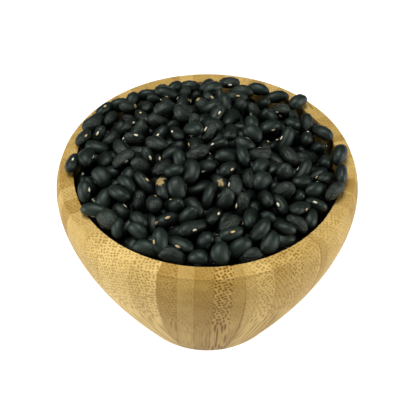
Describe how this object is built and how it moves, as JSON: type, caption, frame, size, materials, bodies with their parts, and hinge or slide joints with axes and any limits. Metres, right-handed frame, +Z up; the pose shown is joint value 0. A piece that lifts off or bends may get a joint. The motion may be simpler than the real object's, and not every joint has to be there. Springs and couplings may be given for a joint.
{
  "type": "bowl of dried black beans",
  "caption": "Turned bamboo bowl with a tapered wall and a flat rim, heaped above its rim with dried black beans.",
  "frame": {"origin": "centre of the bowl's foot, on the surface that it stands on", "axes": "+Z up along the bowl's axis; -Y towards the front, from where the lowest edge of the heap shows; +X to the right"},
  "size_m": [0.1204, 0.1204, 0.0952],
  "materials": {
    "bamboo": "satin, oiled, with dark fibre dots on the end grain and streaks along it",
    "bean_skin": "dry bean skin, dull black with a broad soft shine, and a pale eye on each bean"
  },
  "bodies": {
    "root": {"bowl": "bamboo", "beans": "bean_skin"}
  },
  "joints": []
}
